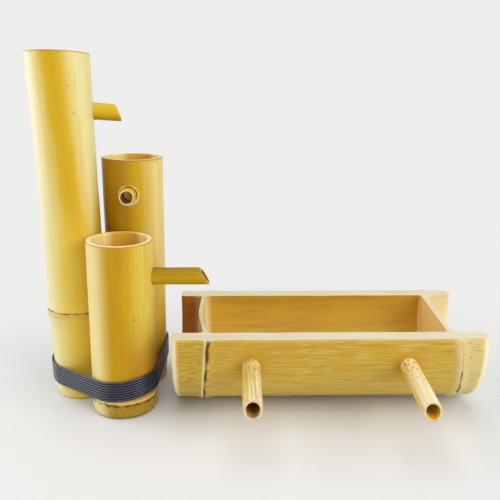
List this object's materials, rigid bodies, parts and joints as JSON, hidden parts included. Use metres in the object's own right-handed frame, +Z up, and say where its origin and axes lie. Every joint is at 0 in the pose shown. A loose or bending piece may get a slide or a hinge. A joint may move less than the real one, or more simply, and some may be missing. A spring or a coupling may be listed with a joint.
{
  "type": "bamboo water cascade",
  "caption": "Table-top water cascade of lashed bamboo culms cut to falling heights, each with a side spout, pouring into a bamboo trough with hollow outlet spouts",
  "frame": {"origin": "on the floor, at the middle of the whole set's bounding box", "axes": "+Z up, +X from the upright culms towards the far end of the trough, -Y the side of the two outlets"},
  "size_m": [0.3812, 0.195, 0.3022],
  "materials": {
    "culm_skin": "satin golden bamboo skin",
    "spout_skin": "satin dark gold bamboo skin",
    "cord": "smooth satin navy cord",
    "trough_skin": "dull tan bamboo skin",
    "outlet_skin": "pale streaked bamboo skin"
  },
  "bodies": {
    "root": {"tall_culm": "culm_skin", "middle_culm": "culm_skin", "short_culm": "culm_skin", "tall_spout": "spout_skin", "middle_spout": "spout_skin", "short_spout": "spout_skin", "lashing_cord": "cord", "trough": "trough_skin", "trough_spout_left": "outlet_skin", "trough_spout_right": "outlet_skin"}
  },
  "joints": []
}
